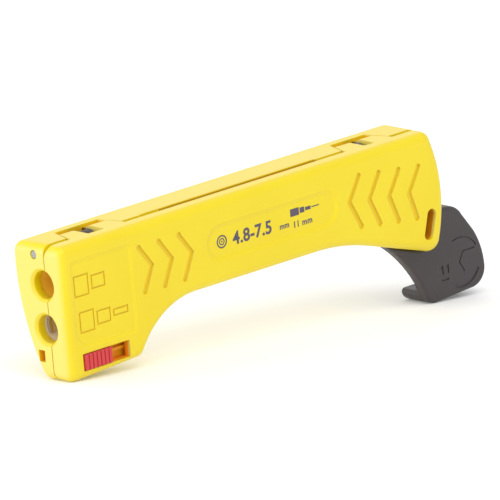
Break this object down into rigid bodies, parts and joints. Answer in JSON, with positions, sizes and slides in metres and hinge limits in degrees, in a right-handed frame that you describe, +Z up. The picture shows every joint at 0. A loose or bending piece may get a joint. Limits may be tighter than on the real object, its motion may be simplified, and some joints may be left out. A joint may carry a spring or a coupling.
{
  "type": "coaxial cable stripper",
  "caption": "Hinged clamshell coaxial cable stripper with cable ports, slide lock and an open-end wrench for coaxial connectors.",
  "frame": {"origin": "middle of the lower cable port's mouth, on the front face", "axes": "+X along the tool from the cable ports to the wrench, +Y from the opening half to the fixed half, +Z up to the hinge"},
  "size_m": [0.1491, 0.0186, 0.0472],
  "materials": {
    "yellow_plastic": "fine satin",
    "red_plastic": "satin",
    "dark_plastic": "matt, glass-filled",
    "inner_plastic": "satin",
    "grey_plastic": "satin",
    "steel": "bright",
    "blade_steel": "ground"
  },
  "bodies": {
    "far_half": {"far_shell": "yellow_plastic", "hinge_pin": "steel", "front_spring": "steel", "rear_spring": "steel", "upper_jacket_blade": "blade_steel", "lower_jacket_blade": "blade_steel", "lower_core_blade": "blade_steel", "lower_blade_carrier": "grey_plastic", "upper_blade_carrier": "inner_plastic", "blade_clamp": "steel", "wrench": "dark_plastic", "carrier_screws": "steel", "clamp_screw": "steel", "wrench_screws": "steel"},
    "near_half": {"near_shell": "yellow_plastic", "cable_rest": "inner_plastic", "rest_screws": "steel", "lock_retainer": "yellow_plastic"},
    "lock": {"lock_slider": "red_plastic"}
  },
  "joints": [
    {"name": "halves_open", "type": "hinge", "parent": "far_half", "child": "near_half", "pos_m": [0.0655, 0.0024, 0.0194], "axis": [-1, 0, 0], "range_deg": [0, 18]},
    {"name": "lock_slide", "type": "slide", "parent": "near_half", "child": "lock", "axis": [1, 0, 0], "range_m": [0, 0.0062]}
  ]
}
